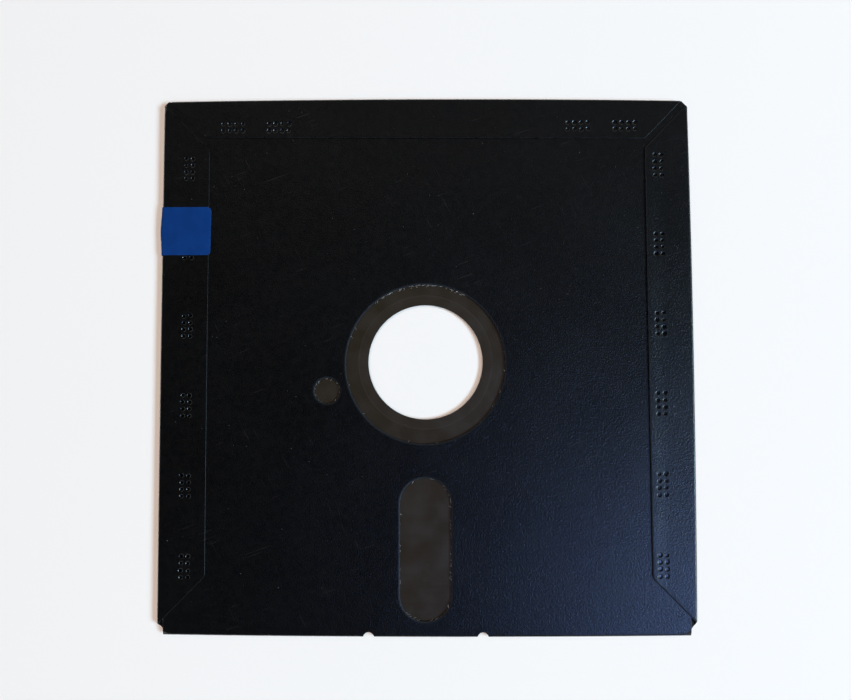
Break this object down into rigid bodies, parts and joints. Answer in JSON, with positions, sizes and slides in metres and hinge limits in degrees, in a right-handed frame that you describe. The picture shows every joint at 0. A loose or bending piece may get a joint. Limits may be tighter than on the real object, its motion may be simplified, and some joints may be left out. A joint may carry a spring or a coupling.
{
  "type": "floppy disk",
  "caption": "Flexible disk cartridge: a folded square jacket with welded flaps holding a thin round recording disk that turns inside it, seen through a hub window, an index window and a head slot.",
  "frame": {"origin": "centre of the disk's hub hole, halfway through the recording disk", "axes": "+Z along the spindle axis out of the jacket's back, +X to the right and +Y away from the head slot, seen from the back"},
  "size_m": [0.1335, 0.1333, 0.0017],
  "materials": {
    "jacket": "satin",
    "liner": "matte",
    "recording_film": "satin",
    "hub_ring": "satin",
    "tab": "satin"
  },
  "bodies": {
    "cartridge": {"jacket": "jacket", "front_liner": "liner", "back_liner": "liner", "write_protect_tab": "tab"},
    "disk": {"magnetic_disk": "recording_film", "hub_ring": "hub_ring"}
  },
  "joints": [
    {"name": "disk_spin", "type": "hinge", "parent": "cartridge", "child": "disk", "pos_m": [0, 0, 0], "axis": [0, 0, 1], "continuous": true}
  ]
}
